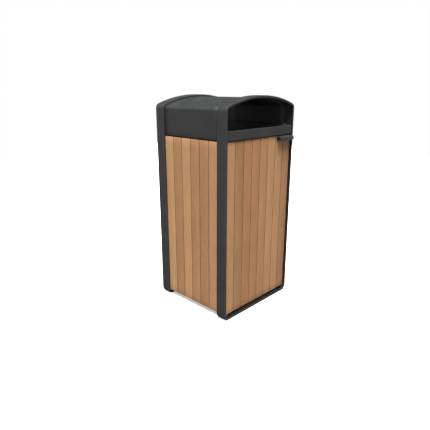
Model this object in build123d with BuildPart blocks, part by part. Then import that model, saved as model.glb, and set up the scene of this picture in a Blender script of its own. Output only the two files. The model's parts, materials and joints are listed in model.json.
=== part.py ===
from build123d import *
import math
import os

# Litter bin enclosure: two closed steel hoops joined by an arched hood, timber cladding on
# four sides, a side-hung front door and a two-wheeled bin inside.
# Millimetres. X is the width, the front faces -Y, Z is up.
# The origin is on the ground, at the centre of the four anchor holes.

# ---------------------------------------------------------------- driving dimensions
# hoops
width = 640.0              # across the posts
depth = 600.0              # front face of the front hoop to rear face of the rear hoop
crown_height = 1346.0      # ground to the top of the arch
arch_radius = 903.0        # outer radius of the arched top
shoulder_radius = 33.0     # outer bend between arch and post
foot_radius = 38.0         # outer bend between post and bottom rail
band_depth = 70.0          # each hoop, front to back
lip_width = 15.0           # folded lips, measured from the outer face
hoop_sheet = 4.0
hoop_edge_radius = 6.0     # outer bend of the folded channel
ear_reach = 14.5           # past the bolt centre
anchor_spacing_x = 400.0
anchor_hole_radius = 7.0   # for M12 ground anchors

# cladding
panel_recess = 12.5        # side timber and hood behind the hoops' outer faces
front_recess = 13.0        # door and rear timber behind the hoops' end faces
slat_thickness = 20.0
slat_gap = 3.0
slat_edge_radius = 2.0
slat_bottom = 35.0         # above the ground
side_slat_count = 6
front_slat_count = 8
side_end_gap = 0.8         # first and last side slat to the hoops' lips
door_edge_gap = 5.0        # door to the posts' lips
pilot_radius = 2.1
pilot_depth = 15.0

# hood, sills and chute
sill_bottom = 1104.0       # also the hood's lower edge
sill_height = 55.0
sill_recess = 5.0
sill_sheet = 2.5
sill_flange = 50.0
sill_lip = 12.0            # upper flange in front of the chute's mouth
sill_end_gap = 1.5         # sill face to the posts' lips
sill_bend_radius = 3.0
side_top_gap = 6.0         # side timber to the hood
door_top_gap = 5.0         # door to the sill
hood_sheet = 2.5
hood_screw_pitch = 161.0
chute_sheet = 2.0
mouth_width = 510.0        # chute's upper opening
mouth_length = 560.0
chute_wall = 2.8           # sloped sheet, measured level
throat_width = 410.0       # chute's lower opening
throat_length = 370.0
throat_drop = 90.0
chute_overlap = 21.0       # chute plate over each sill
chute_side_lip = 18.3      # down-turned side edges

# rails
rail_height = 40.0
rail_depth = 22.0
rail_sheet = 2.5
end_plate = 3.0
bottom_rail_rise = 45.0    # rail centre above the timber's lower end

# floor
floor_width = 500.0
floor_sheet = 3.0
floor_front_gap = 9.0      # floor's edge behind the door's face
anchor_access_radius = 16.0

# door
frame_depth = 20.0
frame_width = 40.0
frame_sheet = 2.5
frame_side_inset = 2.0
hinge_from_edge = 10.0
hinge_from_face = 8.0
lug_sheet = 3.0
lug_length = 38.0
lug_setback = 1.0          # lug's front edge behind the timber's face
pull_length = 139.0
pull_reach = 31.0
pull_height = 28.5         # over its back leg
pull_fall = 6.5            # its top slopes down to the lip
pull_sheet = 3.0
pull_bend_radius = 3.0
pull_screw_pitch = 100.8

# hinge pins and bushes
pin_radius = 4.0
pin_engagement = 12.0      # depth of the bush bores
pin_tip_gap = 1.0          # pin's tip short of that depth
pin_head_radius = 7.0
pin_head = 3.0
bush_wall = 1.4
bush_flange_radius = 7.5
bush_flange = 1.2
bracket_sheet = 5.0
bracket_width = 26.0
bracket_height = 65.0
bracket_offset = 4.0       # leg away from the post
bracket_reach = 12.0       # past the hinge pin

# latch
bolt_radius = 5.0
bolt_from_edge = 30.0
bolt_length = 42.5
bolt_chamfer = 1.0
latch_tip_rise = 1.0       # bolt's tip above the sill's lower face when lifted
keeper_size = 13.0         # square hole in the door frame
latch_body = 12.0
latch_block = 26.0
latch_corner = 3.0
peg_radius = 3.0
peg_length = 30.0
peg_from_top = 8.0

# bin inside
bin_height = 930.0
bin_rim_width = 470.0
bin_rim_depth = 436.0
bin_rim_height = 18.0
bin_rim_overhang = 15.0
bin_base_width = 360.0
bin_base_depth = 350.0
bin_wall = 4.0
bin_corner = 45.0
bin_centre_y = 6.0
bin_recess = 60.0          # axle recess, front to back
bin_recess_height = 130.0
handle_radius = 11.0
handle_length = 300.0
handle_gap = 12.0          # behind the door frame
axle_radius = 10.0
axle_cap_radius = 15.0
axle_lug = 20.0
axle_lug_spacing = 300.0
wheel_radius = 100.0
wheel_width = 40.0
wheel_corner = 8.0
wheel_rim_radius = 78.0    # inner edge of the tyre's shoulder
wheel_hub_radius = 22.0
wheel_web = 10.0
wheel_gap = 4.0            # wheel to the bin's wall
axle_end = 3.0

# fasteners
screw_radius = 2.0
screw_length = 17.0
screw_head_radius = 4.0
screw_head = 2.2
rail_bolt_radius = 4.0
rail_bolt_flats = 13.0
rail_bolt_head = 5.3
rail_bolt_nut = 6.5
rail_bolt_tip = 1.0        # bolt's end past the nut
panel_screw_radius = 3.0
panel_screw_head_radius = 5.5
panel_screw_head = 3.3
panel_screw_length = 12.0
buffer_radius = 6.0
buffer_gap = 1.2           # between a bolt head's flat and the buffer

# clearances
rest_gap = 0.3             # between faces on different bodies
fit_gap = 0.05             # radial, running and pressed fits
hole_gap = 0.2             # radial, clearance holes

# ---------------------------------------------------------------- derived places
half_width = width / 2
half_depth = depth / 2
inner_lip_y = half_depth - band_depth          # inner face of each hoop
lip_x = half_width - lip_width
web_x = half_width - hoop_sheet
arch_centre = crown_height - arch_radius
sill_top = sill_bottom + sill_height
side_face = half_width - panel_recess
front_face = half_depth - front_recess
door_top = sill_bottom - door_top_gap
door_bottom = slat_bottom
door_half_width = lip_x - door_edge_gap
rail_back = slat_thickness + rail_depth        # timber face to the rail's inner face
bolt_x = side_face - slat_thickness - rail_depth / 2
ear_x = bolt_x - ear_reach
top_rail = sill_bottom - rail_height / 2
bottom_rail = slat_bottom + bottom_rail_rise
rail_levels = [bottom_rail, (bottom_rail + top_rail) / 2, top_rail]
frame_levels = [
    door_bottom + frame_width / 2,
    (door_bottom + door_top) / 2,
    door_top - frame_width / 2,
]
floor_top = lip_width + floor_sheet
hinge_x = -(door_half_width - hinge_from_edge)
hinge_y = -(front_face - hinge_from_face)
frame_front = -(front_face - slat_thickness)
frame_back = frame_front + frame_depth
anchor_y = half_depth - band_depth / 2
chute_half_x = side_face - hood_sheet - rest_gap
latch_x = door_half_width - bolt_from_edge
latch_y = frame_front + frame_depth / 2
wheel_z = floor_top + rest_gap + wheel_radius
bin_bottom = floor_top + rest_gap
bin_front = bin_centre_y - bin_rim_depth / 2

# one plane per clad side: x runs along the side, y is up, z points outwards
front_plane = Plane(origin=(0, -front_face, 0), x_dir=(1, 0, 0), z_dir=(0, -1, 0))
rear_plane = Plane(origin=(0, front_face, 0), x_dir=(-1, 0, 0), z_dir=(0, 1, 0))
left_plane = Plane(origin=(-side_face, 0, 0), x_dir=(0, -1, 0), z_dir=(-1, 0, 0))
right_plane = Plane(origin=(side_face, 0, 0), x_dir=(0, 1, 0), z_dir=(1, 0, 0))

side_row = 2 * (inner_lip_y - side_end_gap)
front_row = 2 * door_half_width


def slat_centres(row, count):
    pitch = (row + slat_gap) / count
    return [-row / 2 + pitch / 2 - slat_gap / 2 + pitch * i for i in range(count)]


def slat_width(row, count):
    return (row + slat_gap) / count - slat_gap


def save(piece, name):
    piece.label = name
    export_step(piece, os.path.join("parts", name + ".step"))


# ---------------------------------------------------------------- hoops and hood
def hoop_outline(plane, inset):
    """Closed outline of a hoop, moved inwards by inset."""
    side = half_width - inset
    crown = crown_height - inset
    shoulder = arch_centre + math.sqrt((arch_radius - inset) ** 2 - side ** 2)
    with BuildSketch(plane) as outline:
        with BuildLine():
            Polyline((-side, shoulder), (-side, inset), (side, inset), (side, shoulder))
            ThreePointArc((side, shoulder), (0, crown), (-side, shoulder))
        make_face()
        corners = outline.vertices().sort_by(Axis.Y)
        fillet(corners[:2], foot_radius - inset)
        corners = outline.vertices().sort_by(Axis.Y)
        fillet(corners[-2:], shoulder_radius - inset)
    return outline.sketch


def make_hoop():
    """Front hoop: a folded channel, open inwards, with ears where the rails bolt on."""
    inner = Plane.XZ.offset(inner_lip_y)
    with BuildPart() as hoop:
        extrude(hoop_outline(inner, 0), amount=band_depth)
        ends = hoop.faces().filter_by(Axis.Y)
        fillet(ends.edges(), hoop_edge_radius)
        extrude(hoop_outline(inner, lip_width), amount=band_depth, mode=Mode.SUBTRACT)
        channel = hoop_outline(inner.offset(hoop_sheet), hoop_sheet)
        extrude(channel, amount=band_depth - 2 * hoop_sheet, mode=Mode.SUBTRACT)
        with BuildSketch(inner):
            for level in rail_levels:
                for side in (-1, 1):
                    with Locations((side * (ear_x + web_x) / 2, level)):
                        Rectangle(web_x - ear_x, rail_height)
        extrude(amount=hoop_sheet)
        with BuildSketch(inner):
            for level in rail_levels:
                with Locations((-bolt_x, level), (bolt_x, level)):
                    Circle(rail_bolt_radius + hole_gap)
        extrude(amount=hoop_sheet, mode=Mode.SUBTRACT)
        with BuildSketch(Plane.XY):
            for side in (-1, 1):
                with Locations((side * anchor_spacing_x / 2, -anchor_y)):
                    Circle(anchor_hole_radius)
        extrude(amount=hoop_sheet, mode=Mode.SUBTRACT)
    return hoop.part


def make_hood():
    """Roof and side walls in one bent sheet, with a flange along each lower edge."""
    start = Plane.XZ.offset(-inner_lip_y)
    with BuildPart() as hood:
        extrude(hoop_outline(start, panel_recess), amount=2 * inner_lip_y)
        inside = hoop_outline(start, panel_recess + hood_sheet)
        extrude(inside, amount=2 * inner_lip_y, mode=Mode.SUBTRACT)
        with BuildSketch(Plane.XY):
            Rectangle(width, depth)
        extrude(amount=sill_bottom, mode=Mode.SUBTRACT)
        with BuildSketch(Plane.XY.offset(sill_bottom)):
            for side in (-1, 1):
                with Locations((side * (side_face - rail_back / 2), 0)):
                    Rectangle(rail_back, 2 * inner_lip_y)
        extrude(amount=hood_sheet)
        with BuildSketch(Plane.XY.offset(sill_bottom)):
            with Locations(*hood_screw_places()):
                Circle(panel_screw_radius + hole_gap)
        extrude(amount=hood_sheet, mode=Mode.SUBTRACT)
    return hood.part


def hood_screw_places():
    step = hood_screw_pitch
    return [(side * bolt_x, y) for side in (-1, 1) for y in (-step, 0, step)]


def make_sill():
    """Front sill: a channel open to the inside, its flanges running out to the posts."""
    face_y = -(half_depth - sill_recess)
    back_y = face_y + sill_flange
    half_length = lip_x - sill_end_gap
    with BuildPart() as sill:
        with BuildSketch(Plane.YZ.offset(-half_length)):
            with BuildLine():
                Polyline(
                    (back_y, sill_bottom),
                    (face_y, sill_bottom),
                    (face_y, sill_top),
                    (back_y, sill_top),
                    close=True,
                )
            make_face()
        extrude(amount=2 * half_length)
        long_edges = sill.edges().filter_by(Axis.X).group_by(Axis.Y)[0]
        fillet(long_edges, sill_bend_radius)
        with BuildSketch(Plane.YZ.offset(-half_length)):
            with Locations(((face_y + back_y) / 2 + sill_sheet / 2, sill_bottom + sill_height / 2)):
                Rectangle(sill_flange - sill_sheet, sill_height - 2 * sill_sheet)
        extrude(amount=2 * half_length, mode=Mode.SUBTRACT)
        ear_front = -(half_depth - hoop_sheet - sill_recess)
        for level in (sill_bottom, sill_top - sill_sheet):
            with BuildSketch(Plane.XY.offset(level)):
                with Locations((0, (ear_front + back_y) / 2)):
                    Rectangle(2 * web_x, back_y - ear_front)
            extrude(amount=sill_sheet)
        with BuildSketch(Plane.XY.offset(sill_top - sill_sheet)):
            with Locations(*[(x, -y) for x, y in chute_screw_places()]):
                Circle(panel_screw_radius + hole_gap)
            with Locations((0, face_y + (sill_lip + sill_flange) / 2)):
                Rectangle(mouth_width + 2 * (chute_wall + rest_gap), sill_flange - sill_lip)
        extrude(amount=sill_sheet, mode=Mode.SUBTRACT)
    return sill.part


def chute_screw_places():
    x = (mouth_width / 2 + chute_half_x) / 2
    y = half_depth - sill_recess - sill_flange + chute_overlap / 2
    return [(side * x, y) for side in (-1, 1)]


def make_front_sill(plain):
    """The plain sill with the holes for the top hinge pin and the latch bolt."""
    with BuildPart() as sill:
        add(plain)
        with BuildSketch(Plane.XY.offset(sill_bottom)):
            with Locations((hinge_x, hinge_y)):
                Circle(pin_radius + fit_gap)
            with Locations((latch_x, latch_y)):
                Circle(bolt_radius + hole_gap)
        extrude(amount=sill_sheet, mode=Mode.SUBTRACT)
    return sill.part


def make_chute():
    """Ledges between the hood's walls, around a tapered chute over the inner bin."""
    half_x = chute_half_x
    half_y = half_depth - sill_recess - sill_flange + chute_overlap
    top = sill_top + chute_sheet
    outlet = sill_top - throat_drop
    with BuildPart() as chute:
        with BuildSketch(Plane.XY.offset(sill_top)):
            Rectangle(2 * half_x, 2 * half_y)
        extrude(amount=chute_sheet)
        for wall, mode in ((2 * chute_wall, Mode.ADD), (0, Mode.SUBTRACT)):
            with BuildSketch(Plane.XY.offset(outlet)):
                Rectangle(throat_width + wall, throat_length + wall)
            with BuildSketch(Plane.XY.offset(top)):
                Rectangle(mouth_width + wall, mouth_length + wall)
            loft(mode=mode)
        with BuildSketch(Plane.XY.offset(sill_top)):
            for side in (-1, 1):
                with Locations((side * (half_x - chute_sheet / 2), 0)):
                    Rectangle(chute_sheet, 2 * (half_y - chute_overlap - rest_gap))
        extrude(amount=-chute_side_lip)
        with BuildSketch(Plane.XY.offset(sill_top)):
            for x, y in chute_screw_places():
                with Locations((x, y), (x, -y)):
                    Circle(panel_screw_radius + hole_gap)
        extrude(amount=chute_sheet, mode=Mode.SUBTRACT)
    return chute.part


def make_floor():
    """Floor plate on the hoops' inner lips, its front and rear edges turned down."""
    half_y = front_face - floor_front_gap
    with BuildPart() as floor:
        with BuildSketch(Plane.XY.offset(lip_width)):
            Rectangle(floor_width, 2 * half_y)
        extrude(amount=floor_sheet)
        with BuildSketch(Plane.XY.offset(lip_width)):
            for side in (-1, 1):
                with Locations((0, side * (half_y - floor_sheet / 2))):
                    Rectangle(floor_width, floor_sheet)
        extrude(amount=hoop_sheet - lip_width)
        with BuildSketch(Plane.XY.offset(lip_width)):
            for side in (-1, 1):
                with Locations((side * (floor_width - floor_sheet) / 2, 0)):
                    Rectangle(floor_sheet, 2 * (inner_lip_y - rest_gap))
        extrude(amount=hoop_sheet - lip_width)
        with BuildSketch(Plane.XY.offset(lip_width)):
            with GridLocations(anchor_spacing_x, 2 * anchor_y, 2, 2):
                Circle(anchor_access_radius)
        extrude(amount=floor_sheet, mode=Mode.SUBTRACT)
    return floor.part


# ---------------------------------------------------------------- cladding
def make_slat(plane, centre, span, levels, top):
    """One timber board with a blind pilot hole behind each rail."""
    with BuildPart() as slat:
        with BuildSketch(plane):
            with Locations((centre, (slat_bottom + top) / 2)):
                Rectangle(span, top - slat_bottom)
        extrude(amount=-slat_thickness)
        fillet(slat.edges().filter_by(Axis.Z), slat_edge_radius)
        with BuildSketch(plane.offset(-slat_thickness)):
            with Locations(*[(centre, level) for level in levels]):
                Circle(pilot_radius)
        extrude(amount=pilot_depth, mode=Mode.SUBTRACT)
    return slat.part


def make_hinge_slat(plain):
    """The board at the hinge side, bored at both ends for the bushes."""
    bore = pin_radius + bush_wall + 2 * fit_gap
    reach = pin_engagement + fit_gap
    with BuildPart() as slat:
        add(plain)
        for level, way in ((door_bottom, reach), (door_top, -reach)):
            with BuildSketch(Plane.XY.offset(level)):
                with Locations((hinge_x, hinge_y)):
                    Circle(bore)
            extrude(amount=way, mode=Mode.SUBTRACT)
    return slat.part


def make_rail(plane, half_length, level, centres):
    """Side rail: a tray-shaped channel, open inwards, bolted through its end plates."""
    back = plane.offset(-slat_thickness)
    with BuildPart() as rail:
        with BuildSketch(back):
            with Locations((0, level)):
                Rectangle(2 * half_length, rail_height)
        extrude(amount=-rail_depth)
        with BuildSketch(back.offset(-rail_sheet)):
            with Locations((0, level)):
                Rectangle(2 * (half_length - end_plate), rail_height - 2 * rail_sheet)
        extrude(amount=rail_sheet - rail_depth, mode=Mode.SUBTRACT)
        with BuildSketch(back):
            with Locations(*[(centre, level) for centre in centres]):
                Circle(screw_radius + hole_gap)
        extrude(amount=-rail_sheet, mode=Mode.SUBTRACT)
        with BuildSketch(Plane.XZ.offset(half_length)):
            with Locations((-bolt_x, level), (bolt_x, level)):
                Circle(rail_bolt_radius + hole_gap)
        extrude(amount=-2 * half_length, mode=Mode.SUBTRACT)
    return rail.part


def make_top_rail(plane, level, centres):
    """Side rail under the hood, with holes for the hood's screws in its upper flange."""
    with BuildPart() as rail:
        add(make_rail(plane, inner_lip_y, level, centres))
        with BuildSketch(Plane.XY.offset(sill_bottom)):
            with Locations(*hood_screw_places()):
                Circle(panel_screw_radius + fit_gap)
        extrude(amount=-rail_sheet, mode=Mode.SUBTRACT)
    return rail.part


def make_rear_rail(level, centres):
    """Rear rail: a channel between the ears of the rear hoop, with a bolted tab at each end."""
    back = rear_plane.offset(-slat_thickness)
    tab_y = inner_lip_y + hoop_sheet
    reach = front_face - slat_thickness - tab_y
    tab = web_x - ear_x - hoop_sheet
    with BuildPart() as rail:
        with BuildSketch(back):
            with Locations((0, level)):
                Rectangle(2 * (ear_x + tab), rail_height)
        extrude(amount=-reach)
        with BuildSketch(back.offset(-rail_sheet)):
            with Locations((0, level)):
                Rectangle(2 * (ear_x + tab), rail_height - 2 * rail_sheet)
        extrude(amount=end_plate + rail_sheet - reach, mode=Mode.SUBTRACT)
        with BuildSketch(back.offset(-reach)):
            with Locations((0, level)):
                Rectangle(2 * ear_x, rail_height - 2 * rail_sheet)
        extrude(amount=end_plate, mode=Mode.SUBTRACT)
        with BuildSketch(back):
            with Locations(*[(centre, level) for centre in centres]):
                Circle(screw_radius + hole_gap)
        extrude(amount=-rail_sheet, mode=Mode.SUBTRACT)
        with BuildSketch(back.offset(-reach)):
            with Locations((-bolt_x, level), (bolt_x, level)):
                Circle(rail_bolt_radius + hole_gap)
        extrude(amount=end_plate, mode=Mode.SUBTRACT)
    return rail.part


# ---------------------------------------------------------------- door
def make_door_frame():
    """Welded channel frame behind the door's boards, with the hinge lugs and the keeper."""
    half = door_half_width - frame_side_inset
    height = door_top - door_bottom
    middle = (door_top + door_bottom) / 2
    window_x = 2 * (half - frame_width)
    window_z = (height - 3 * frame_width) / 2
    front = front_plane.offset(-slat_thickness)
    with BuildPart() as frame:
        with BuildSketch(front):
            with Locations((0, middle)):
                Rectangle(2 * half, height)
            with Locations((0, middle)):
                with GridLocations(0, window_z + frame_width, 1, 2):
                    Rectangle(window_x, window_z, mode=Mode.SUBTRACT)
        extrude(amount=-frame_depth)
        with BuildSketch(front.offset(-frame_sheet)):
            with Locations((0, middle)):
                Rectangle(2 * (half - frame_sheet), height - 2 * frame_sheet)
                with GridLocations(0, window_z + frame_width, 1, 2):
                    Rectangle(
                        window_x + 2 * frame_sheet,
                        window_z + 2 * frame_sheet,
                        mode=Mode.SUBTRACT,
                    )
        extrude(amount=frame_sheet - frame_depth, mode=Mode.SUBTRACT)
        for level, way in ((door_bottom, -lug_sheet), (door_top, lug_sheet)):
            with BuildSketch(Plane.XY.offset(level)):
                lug_front = -(front_face - lug_setback)
                with Locations((-door_half_width + lug_length / 2, (lug_front + frame_back) / 2)):
                    Rectangle(lug_length, frame_back - lug_front)
            extrude(amount=way)
            with BuildSketch(Plane.XY.offset(level)):
                with Locations((hinge_x, hinge_y)):
                    Circle(pin_radius + bush_wall + 2 * fit_gap)
            extrude(amount=way, mode=Mode.SUBTRACT)
        with BuildSketch(front):
            for level in frame_levels:
                with Locations(*[(x, level) for x in slat_centres(front_row, front_slat_count)]):
                    Circle(screw_radius + hole_gap)
        extrude(amount=-frame_sheet, mode=Mode.SUBTRACT)
        with BuildSketch(Plane.XY.offset(door_top)):
            with Locations((latch_x, latch_y)):
                Rectangle(keeper_size, keeper_size)
        extrude(amount=-frame_sheet, mode=Mode.SUBTRACT)
    return frame.part


def pull_screw_places():
    level = door_top - pull_height / 2
    centre = door_half_width - pull_length / 2
    step = pull_screw_pitch / 2
    return [(centre - step, level), (centre + step, level)]


def pull_section(inset):
    """Outline of the pull from its end, open at the bottom when inset is the sheet's thickness."""
    back_y = -front_face - inset
    lip_y = -front_face - pull_reach + inset
    bottom = door_top - pull_height
    with BuildSketch(Plane.YZ.offset(door_half_width)) as section:
        with BuildLine():
            Polyline(
                (back_y, bottom),
                (back_y, door_top - inset),
                (lip_y, door_top - pull_fall - inset),
                (lip_y, bottom),
                close=True,
            )
        make_face()
    return section.sketch


def make_pull():
    """Folded pull: a back leg screwed to the boards, a sloping top and a turned-down lip."""
    with BuildPart() as pull:
        extrude(pull_section(0), amount=-pull_length)
        upper = pull.edges().filter_by(Axis.X).group_by(Axis.Y)[0].sort_by(Axis.Z)[-1]
        fillet(upper, pull_bend_radius)
        extrude(pull_section(pull_sheet), amount=-pull_length, mode=Mode.SUBTRACT)
        with BuildSketch(front_plane):
            with Locations(*pull_screw_places()):
                Circle(screw_radius + hole_gap)
        extrude(amount=pull_sheet, mode=Mode.SUBTRACT)
    return pull.part


def make_board_with_pull_holes(plain):
    """A door board with the pilot holes for the pull's screws."""
    with BuildPart() as board:
        add(plain)
        with BuildSketch(front_plane):
            with Locations(*pull_screw_places()):
                Circle(pilot_radius)
        extrude(amount=-pilot_depth, mode=Mode.SUBTRACT)
    return board.part


def make_hinge_pins():
    """Two headed pins: the upper one hangs from the sill, the lower stands in its bracket."""
    bracket_top = door_bottom - lug_sheet - bush_flange - rest_gap
    with BuildPart() as pins:
        places = (
            (sill_bottom + sill_sheet, 1, door_top - pin_engagement + pin_tip_gap),
            (bracket_top - bracket_sheet, -1, door_bottom + pin_engagement - pin_tip_gap),
        )
        for seat, way, tip in places:
            with BuildSketch(Plane.XY.offset(seat)):
                with Locations((hinge_x, hinge_y)):
                    Circle(pin_head_radius)
            extrude(amount=way * pin_head)
            with BuildSketch(Plane.XY.offset(seat)):
                with Locations((hinge_x, hinge_y)):
                    Circle(pin_radius)
            extrude(amount=tip - seat)
    return pins.part


def make_bushes():
    """Two flanged bushes, pressed into the lugs and the ends of the hinge board."""
    with BuildPart() as bushes:
        places = ((door_bottom - lug_sheet, 1), (door_top + lug_sheet, -1))
        for seat, way in places:
            with BuildSketch(Plane.XY.offset(seat)):
                with Locations((hinge_x, hinge_y)):
                    Circle(bush_flange_radius)
            extrude(amount=-way * bush_flange)
            with BuildSketch(Plane.XY.offset(seat)):
                with Locations((hinge_x, hinge_y)):
                    Circle(pin_radius + bush_wall + fit_gap)
            extrude(amount=way * (lug_sheet + pin_engagement))
            with BuildSketch(Plane.XY.offset(seat - way * bush_flange)):
                with Locations((hinge_x, hinge_y)):
                    Circle(pin_radius + fit_gap)
            extrude(amount=way * (bush_flange + lug_sheet + pin_engagement), mode=Mode.SUBTRACT)
    return bushes.part


def make_pivot_bracket():
    """Angle bracket on the left post that carries the lower hinge pin."""
    top = door_bottom - lug_sheet - bush_flange - rest_gap
    leg_x = -(web_x - bracket_offset)
    end_x = hinge_x + bracket_reach
    with BuildPart() as bracket:
        with BuildSketch(Plane.XY.offset(top)):
            with Locations(((leg_x + end_x) / 2, hinge_y)):
                Rectangle(end_x - leg_x, bracket_width)
        extrude(amount=-bracket_sheet)
        with BuildSketch(Plane.XY.offset(top - bracket_sheet)):
            with Locations((leg_x + bracket_offset / 2, hinge_y)):
                Rectangle(bracket_offset, bracket_width)
        extrude(amount=bracket_height)
        with BuildSketch(Plane.XY.offset(foot_radius + bracket_offset)):
            with Locations((leg_x - bracket_offset / 2, hinge_y)):
                Rectangle(bracket_offset, bracket_width)
        extrude(amount=top - bracket_sheet + bracket_height - foot_radius - bracket_offset)
        with BuildSketch(Plane.XY.offset(top)):
            with Locations((hinge_x, hinge_y)):
                Circle(pin_radius + fit_gap)
        extrude(amount=-bracket_sheet, mode=Mode.SUBTRACT)
    return bracket.part


# ---------------------------------------------------------------- latch
def make_latch_housing():
    """Guide block on the sill's lower flange."""
    with BuildPart() as housing:
        with BuildSketch(Plane.XY.offset(sill_bottom + sill_sheet)):
            with Locations((latch_x, latch_y)):
                RectangleRounded(latch_block, latch_block, latch_corner)
                Circle(bolt_radius + fit_gap, mode=Mode.SUBTRACT)
        extrude(amount=latch_body)
    return housing.part


def make_latch_bolt():
    """Drop bolt with a side peg, shown lifted clear of the door."""
    tip = sill_bottom + latch_tip_rise
    peg_z = tip + bolt_length - peg_from_top
    with BuildPart() as bolt:
        with BuildSketch(Plane.XY.offset(tip)):
            with Locations((latch_x, latch_y)):
                Circle(bolt_radius)
        extrude(amount=bolt_length)
        chamfer(bolt.edges().group_by(Axis.Z)[0], bolt_chamfer)
        with BuildSketch(Plane.XZ.offset(-latch_y)):
            with Locations((latch_x, peg_z)):
                Circle(peg_radius)
        extrude(amount=-peg_length)
    return bolt.part


def make_buffers():
    """Rubber stops on the right ears of the front hoop, behind the door frame."""
    x = bolt_x + rail_bolt_flats / 2 + buffer_gap + buffer_radius
    with BuildPart() as buffers:
        with BuildSketch(Plane.XZ.offset(inner_lip_y + hoop_sheet)):
            with Locations((x, rail_levels[0]), (x, rail_levels[2])):
                Circle(buffer_radius)
        extrude(amount=-(inner_lip_y + hoop_sheet + frame_back) - rest_gap)
    return buffers.part


# ---------------------------------------------------------------- fasteners
def make_screws(rows):
    """Pan-head screws: each row gives a seat plane, the way of the shank and the places."""
    with BuildPart() as screws:
        for plane, way, places in rows:
            with BuildSketch(plane):
                with Locations(*places):
                    Circle(screw_radius)
            extrude(amount=way * screw_length)
            with BuildSketch(plane):
                with Locations(*places):
                    Circle(screw_head_radius)
            extrude(amount=-way * screw_head)
    return screws.part


def grid(centres, levels):
    return [(centre, level) for centre in centres for level in levels]


def make_rail_bolts():
    """Bolts and nuts that hold the rails to the hoops' ears."""
    clear = rail_bolt_radius + fit_gap
    with BuildPart() as bolts:
        for level in rail_levels:
            for x in (-bolt_x, bolt_x):
                for side, plates in ((1, 0), (-1, end_plate)):
                    # the nut bears on the side rail's end plate, the head on the ear or tab
                    seat = side * (inner_lip_y + hoop_sheet + plates)
                    nut = side * (inner_lip_y - end_plate)
                    with BuildSketch(Plane.XZ.offset(seat)):
                        with Locations((x, level)):
                            RegularPolygon(rail_bolt_flats / 2, 6, major_radius=False)
                    extrude(amount=side * rail_bolt_head)
                    with BuildSketch(Plane.XZ.offset(seat)):
                        with Locations((x, level)):
                            Circle(rail_bolt_radius)
                    extrude(amount=nut - seat - side * (rail_bolt_nut + rail_bolt_tip))
                    with BuildSketch(Plane.XZ.offset(nut)):
                        with Locations((x, level)):
                            RegularPolygon(rail_bolt_flats / 2, 6, major_radius=False)
                            Circle(clear, mode=Mode.SUBTRACT)
                    extrude(amount=-side * rail_bolt_nut)
    return bolts.part


def make_panel_screws():
    """Flanged screws that hold the hood to the top rails and the chute plate to the sills."""
    with BuildPart() as screws:
        chute = [(x, side * y) for x, y in chute_screw_places() for side in (-1, 1)]
        rows = ((sill_bottom + hood_sheet, hood_screw_places()), (sill_top + chute_sheet, chute))
        for level, places in rows:
            with BuildSketch(Plane.XY.offset(level)):
                with Locations(*places):
                    Circle(panel_screw_head_radius)
            extrude(amount=panel_screw_head)
            with BuildSketch(Plane.XY.offset(level)):
                with Locations(*places):
                    Circle(panel_screw_radius)
            extrude(amount=-panel_screw_length)
    return screws.part


# ---------------------------------------------------------------- inner bin
def bin_block(inset, floor_rise):
    """The tub's tapered block, with its axle recess, shrunk inwards by inset."""
    neck_width = bin_rim_width - 2 * bin_rim_overhang
    neck_depth = bin_rim_depth - 2 * bin_rim_overhang
    with BuildPart() as block:
        with BuildSketch(Plane.XY.offset(bin_bottom + floor_rise)):
            with Locations((0, bin_centre_y)):
                RectangleRounded(
                    bin_base_width - 2 * inset, bin_base_depth - 2 * inset, bin_corner - inset
                )
        with BuildSketch(Plane.XY.offset(bin_bottom + bin_height)):
            with Locations((0, bin_centre_y)):
                RectangleRounded(neck_width - 2 * inset, neck_depth - 2 * inset, bin_corner - inset)
        loft()
        with BuildSketch(Plane.XY.offset(bin_bottom)):
            with Locations((0, bin_centre_y - bin_base_depth / 2)):
                Rectangle(bin_rim_width, 2 * (bin_recess + inset))
        extrude(amount=bin_recess_height + inset, mode=Mode.SUBTRACT)
    return block.part


def make_bin_body():
    """Tapered tub with a rim, a handle bar and an axle recess, all at the door side."""
    top_z = bin_bottom + bin_height
    recess_y = bin_centre_y - bin_base_depth / 2 + bin_recess
    lug_bottom = wheel_z - 2 * axle_radius
    lug_top = bin_bottom + bin_recess_height + bin_wall / 2
    bar_y = frame_back + handle_gap + handle_radius
    with BuildPart() as body:
        add(bin_block(0, 0))
        with BuildSketch(Plane.XY.offset(top_z - bin_rim_height)):
            with Locations((0, bin_centre_y)):
                RectangleRounded(bin_rim_width, bin_rim_depth, bin_corner + bin_rim_overhang)
        extrude(amount=bin_rim_height)
        fillet(body.faces().sort_by(Axis.Z)[-1].edges(), bin_wall / 2)
        add(bin_block(bin_wall, bin_wall), mode=Mode.SUBTRACT)
        for side in (-1, 1):
            with BuildSketch(Plane.YZ.offset(side * (axle_lug_spacing / 2))):
                with Locations((recess_y - bin_recess / 2, (lug_bottom + lug_top) / 2)):
                    Rectangle(bin_recess + bin_wall, lug_top - lug_bottom)
            extrude(amount=side * axle_lug)
            with BuildSketch(Plane.XY.offset(top_z - bin_rim_height)):
                with Locations((side * (handle_length - axle_lug) / 2, (bar_y + bin_front) / 2)):
                    Rectangle(axle_lug, bin_front - bar_y + bin_wall)
            extrude(amount=bin_rim_height)
        with BuildSketch(Plane.YZ.offset(-bin_base_width / 2)):
            with Locations((axle_y(), wheel_z)):
                Circle(axle_radius + fit_gap)
        extrude(amount=bin_base_width, mode=Mode.SUBTRACT)
        with BuildSketch(Plane.YZ.offset(-handle_length / 2)):
            with Locations((bar_y, top_z - handle_radius)):
                Circle(handle_radius)
        extrude(amount=handle_length)
    return body.part


def axle_y():
    return bin_centre_y - bin_base_depth / 2 + bin_recess / 2


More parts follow.
